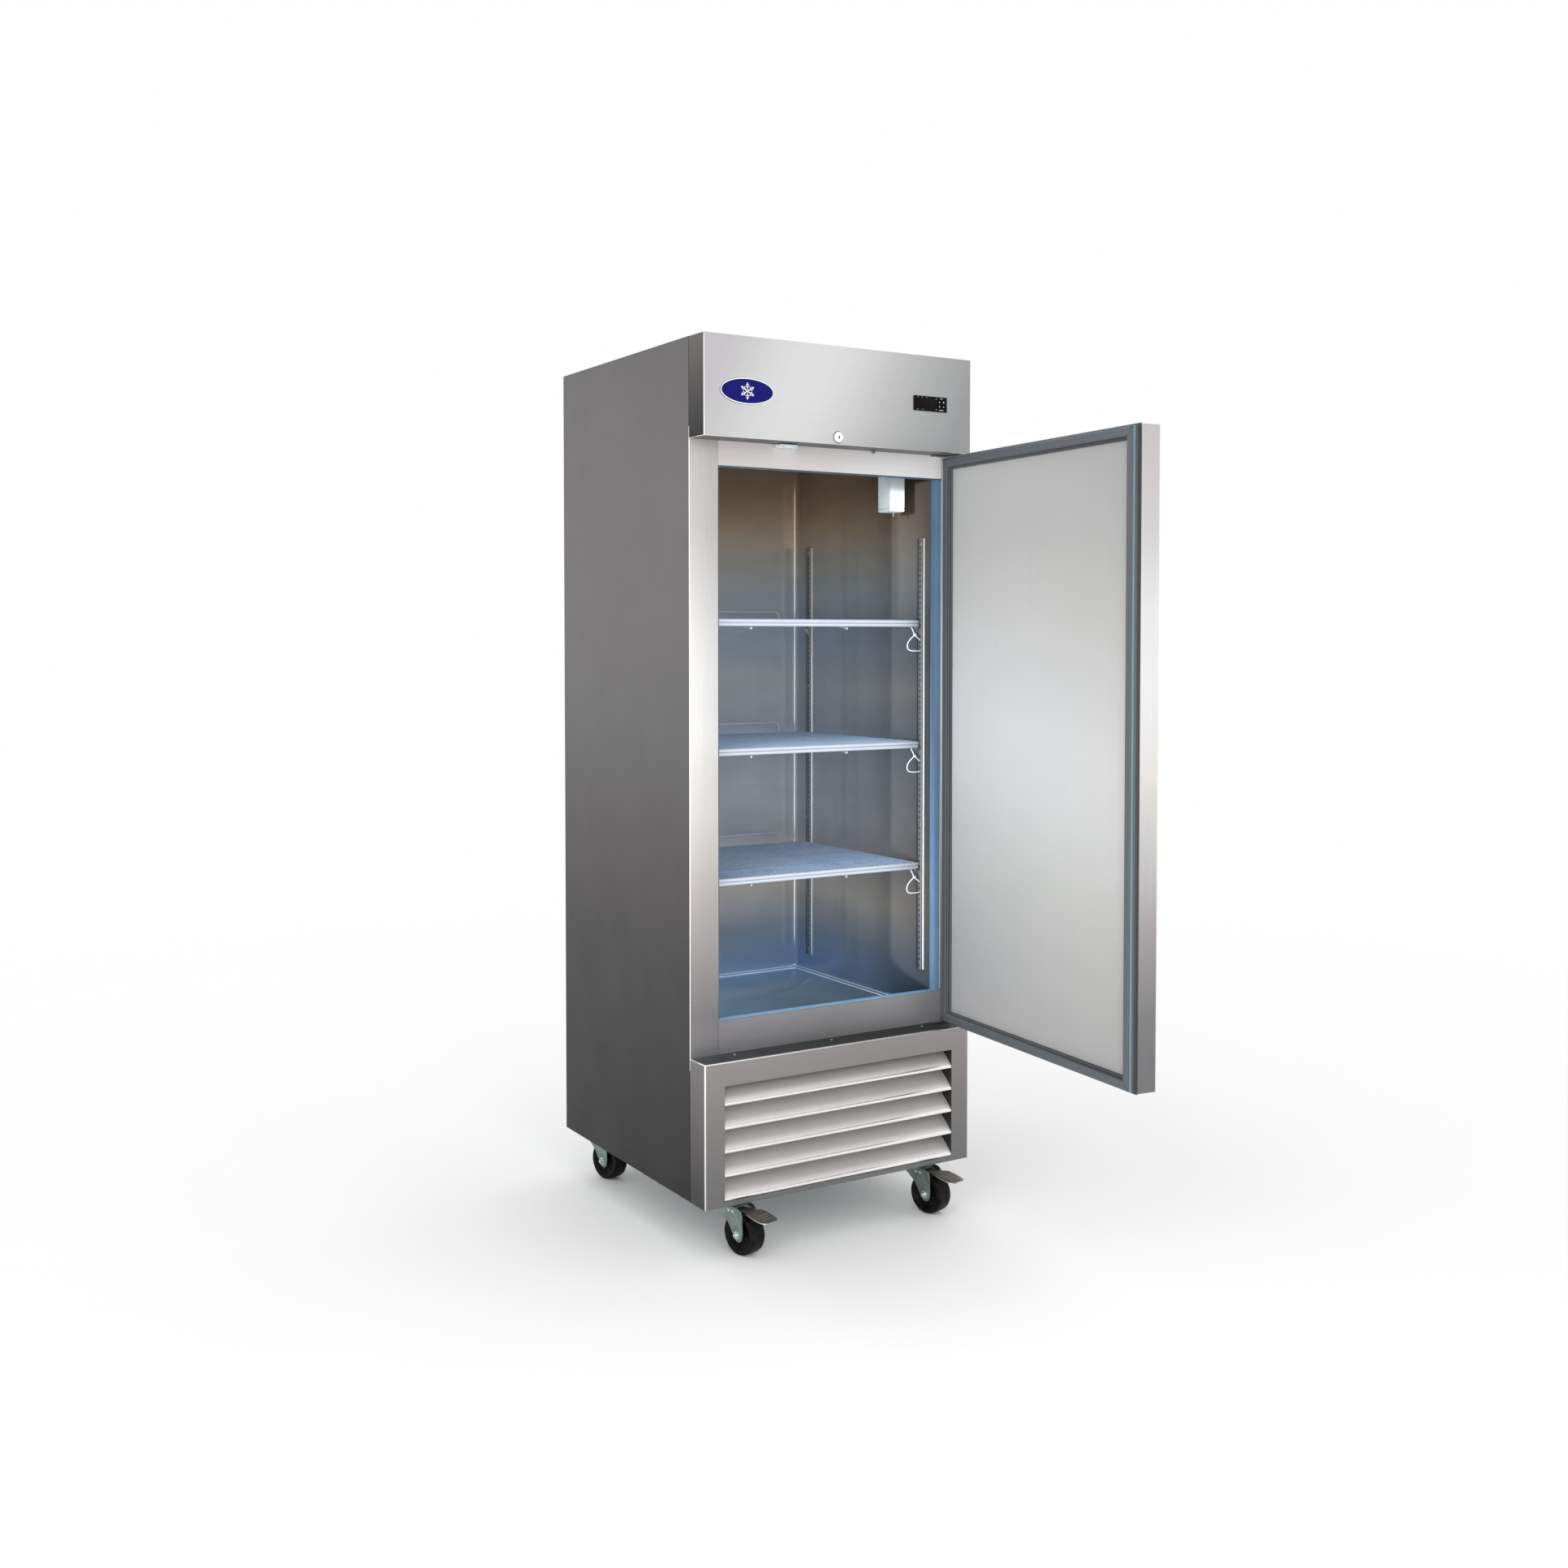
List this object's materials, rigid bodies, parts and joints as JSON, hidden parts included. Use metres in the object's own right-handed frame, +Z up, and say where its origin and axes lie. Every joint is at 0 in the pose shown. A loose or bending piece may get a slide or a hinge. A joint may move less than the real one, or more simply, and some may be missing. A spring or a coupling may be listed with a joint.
{
  "type": "reach-in refrigerator",
  "caption": "Upright reach-in refrigerator: solid hinged door standing open, wire shelves, louvered condensing unit base, header with controller, lock and badge, swivel casters.",
  "frame": {"origin": "middle of the base pan's underside", "axes": "+Z up, +X to the right as seen from the front, the front and its door face -Y"},
  "size_m": [0.7295, 1.4586, 2.05],
  "materials": {
    "stainless_front": "brushed, vertical gradient sheen",
    "stainless_side": "satin, dark in the shade",
    "stainless_liner": "bright, mirror-like",
    "stainless_door": "fine brushed",
    "galvanised": "galvanised sheet",
    "zinc_plate": "zinc plated pressed steel",
    "caster_rubber": "satin black polymer tread",
    "foam": "foamed in place",
    "breaker_plastic": "blue-grey extruded strip",
    "gasket_rubber": "grey magnetic gasket",
    "badge_plate": "gloss blue oval with a silver rim",
    "controller_plastic": "gloss black",
    "key_plastic": "satin black",
    "chrome": "polished",
    "white_plastic": "semi-gloss white",
    "pilaster_steel": "bright slotted strip",
    "shelf_coat": "white plastic-coated wire",
    "white_enamel": "white enamel",
    "fin_aluminium": "mill finish fins",
    "condenser_fins": "dark coated fins on copper tube",
    "black_enamel": "black enamel",
    "fan_plastic": "moulded black",
    "lamp_plastic": "ribbed translucent cover",
    "bulb_glass": "frosted",
    "inlet_plastic": "moulded black"
  },
  "bodies": {
    "root": {"header_panel": "stainless_front", "front_frame": "stainless_front", "louver_grille": "stainless_front", "left_side_panel": "stainless_side", "right_side_panel": "stainless_side", "interior_liner": "stainless_liner", "top_panel": "galvanised", "back_panel": "galvanised", "base_pan": "galvanised", "hinge_top": "galvanised", "hinge_bottom": "galvanised", "caster_plate_front_left": "zinc_plate", "caster_plate_front_right": "zinc_plate", "caster_plate_rear_left": "zinc_plate", "caster_plate_rear_right": "zinc_plate", "cabinet_insulation": "foam", "breaker_strip": "breaker_plastic", "badge": "badge_plate", "controller": "controller_plastic", "lock_housing": "chrome", "door_switch": "white_plastic", "pilaster_front_left": "pilaster_steel", "pilaster_front_right": "pilaster_steel", "pilaster_rear_left": "pilaster_steel", "pilaster_rear_right": "pilaster_steel", "evaporator_housing": "white_enamel", "evaporator_coil": "fin_aluminium", "condenser_coil": "condenser_fins", "condenser_shroud": "black_enamel", "compressor": "black_enamel", "lamp_cover": "lamp_plastic", "lamp_bulb": "bulb_glass", "power_inlet": "inlet_plastic"},
    "door": {"door_outer_skin": "stainless_door", "door_core": "foam", "door_inner_panel": "stainless_door", "door_gasket": "gasket_rubber", "door_handle": "stainless_door"},
    "lock_barrel": {"lock_barrel": "chrome"},
    "lock_bolt": {"lock_bolt": "galvanised"},
    "switch_plunger": {"switch_plunger": "white_plastic"},
    "key_up": {"key_up": "key_plastic"},
    "key_down": {"key_down": "key_plastic"},
    "key_set": {"key_set": "key_plastic"},
    "key_defrost": {"key_defrost": "key_plastic"},
    "shelf_upper": {"shelf_upper": "shelf_coat"},
    "shelf_middle": {"shelf_middle": "shelf_coat"},
    "shelf_lower": {"shelf_lower": "shelf_coat"},
    "evaporator_fan": {"evaporator_fan": "fan_plastic"},
    "condenser_fan": {"condenser_fan": "fan_plastic"},
    "fork_front_left": {"caster_fork_front_left": "zinc_plate"},
    "wheel_front_left": {"caster_wheel_front_left": "caster_rubber"},
    "fork_front_right": {"caster_fork_front_right": "zinc_plate"},
    "wheel_front_right": {"caster_wheel_front_right": "caster_rubber"},
    "fork_rear_left": {"caster_fork_rear_left": "zinc_plate"},
    "wheel_rear_left": {"caster_wheel_rear_left": "caster_rubber"},
    "fork_rear_right": {"caster_fork_rear_right": "zinc_plate"},
    "wheel_rear_right": {"caster_wheel_rear_right": "caster_rubber"},
    "pedal_front_left": {"brake_pedal_front_left": "zinc_plate"},
    "pedal_front_right": {"brake_pedal_front_right": "zinc_plate"}
  },
  "joints": [
    {"name": "door_swing", "type": "hinge", "parent": "root", "child": "door", "pos_m": [0.35, -0.3565, 0], "axis": [0, 0, 1], "range_deg": [-85.4, 24.6]},
    {"name": "lock_turn", "type": "hinge", "parent": "root", "child": "lock_barrel", "pos_m": [-0.015, -0.3705, 1.72], "axis": [0, -1, 0], "range_deg": [0, 90]},
    {"name": "lock_bolt_slide", "type": "slide", "parent": "root", "child": "lock_bolt", "axis": [0, 0, -1], "range_m": [0, 0.012]},
    {"name": "door_switch_press", "type": "slide", "parent": "root", "child": "switch_plunger", "axis": [0, 1, 0], "range_m": [0, 0.003], "stiffness_N_per_m": 300},
    {"name": "key_up_press", "type": "slide", "parent": "root", "child": "key_up", "axis": [0, 1, 0], "range_m": [0, 0.0007], "stiffness_N_per_m": 500},
    {"name": "key_down_press", "type": "slide", "parent": "root", "child": "key_down", "axis": [0, 1, 0], "range_m": [0, 0.0007], "stiffness_N_per_m": 500},
    {"name": "key_set_press", "type": "slide", "parent": "root", "child": "key_set", "axis": [0, 1, 0], "range_m": [0, 0.0007], "stiffness_N_per_m": 500},
    {"name": "key_defrost_press", "type": "slide", "parent": "root", "child": "key_defrost", "axis": [0, 1, 0], "range_m": [0, 0.0007], "stiffness_N_per_m": 500},
    {"name": "shelf_upper_slide", "type": "slide", "parent": "root", "child": "shelf_upper", "axis": [0, -1, 0], "range_m": [0, 0.09]},
    {"name": "shelf_middle_slide", "type": "slide", "parent": "root", "child": "shelf_middle", "axis": [0, -1, 0], "range_m": [0, 0.09]},
    {"name": "shelf_lower_slide", "type": "slide", "parent": "root", "child": "shelf_lower", "axis": [0, -1, 0], "range_m": [0, 0.09]},
    {"name": "evaporator_fan_spin", "type": "hinge", "parent": "root", "child": "evaporator_fan", "pos_m": [0, -0.1125, 1.755], "axis": [0, 0, 1], "continuous": true},
    {"name": "condenser_fan_spin", "type": "hinge", "parent": "root", "child": "condenser_fan", "pos_m": [0, -0.2425, 0.152], "axis": [0, 1, 0], "continuous": true},
    {"name": "swivel_front_left", "type": "hinge", "parent": "root", "child": "fork_front_left", "pos_m": [-0.26, -0.3115, -0.012], "axis": [0, 0, 1], "continuous": true},
    {"name": "roll_front_left", "type": "hinge", "parent": "fork_front_left", "child": "wheel_front_left", "pos_m": [-0.25081, -0.34837, -0.075], "axis": [0.9703, 0.2419, 0], "continuous": true},
    {"name": "swivel_front_right", "type": "hinge", "parent": "root", "child": "fork_front_right", "pos_m": [0.26, -0.3115, -0.012], "axis": [0, 0, 1], "continuous": true},
    {"name": "roll_front_right", "type": "hinge", "parent": "fork_front_right", "child": "wheel_front_right", "pos_m": [0.26919, -0.34837, -0.075], "axis": [0.9703, 0.2419, 0], "continuous": true},
    {"name": "swivel_rear_left", "type": "hinge", "parent": "root", "child": "fork_rear_left", "pos_m": [-0.29, 0.3255, -0.012], "axis": [0, 0, 1], "continuous": true},
    {"name": "roll_rear_left", "type": "hinge", "parent": "fork_rear_left", "child": "wheel_rear_left", "pos_m": [-0.28081, 0.28863, -0.075], "axis": [0.9703, 0.2419, 0], "continuous": true},
    {"name": "swivel_rear_right", "type": "hinge", "parent": "root", "child": "fork_rear_right", "pos_m": [0.29, 0.3255, -0.012], "axis": [0, 0, 1], "continuous": true},
    {"name": "roll_rear_right", "type": "hinge", "parent": "fork_rear_right", "child": "wheel_rear_right", "pos_m": [0.29919, 0.28863, -0.075], "axis": [0.9703, 0.2419, 0], "continuous": true},
    {"name": "brake_front_left", "type": "hinge", "parent": "fork_front_left", "child": "pedal_front_left", "pos_m": [-0.25661, -0.32508, -0.02325], "axis": [0.9703, 0.2419, 0], "range_deg": [0, 6]},
    {"name": "brake_front_right", "type": "hinge", "parent": "fork_front_right", "child": "pedal_front_right", "pos_m": [0.26339, -0.32508, -0.02325], "axis": [0.9703, 0.2419, 0], "range_deg": [0, 6]}
  ],
  "couplings": [
    {"joint": "lock_bolt_slide", "follows": "lock_turn", "m_per_rad": 0.00763}
  ]
}
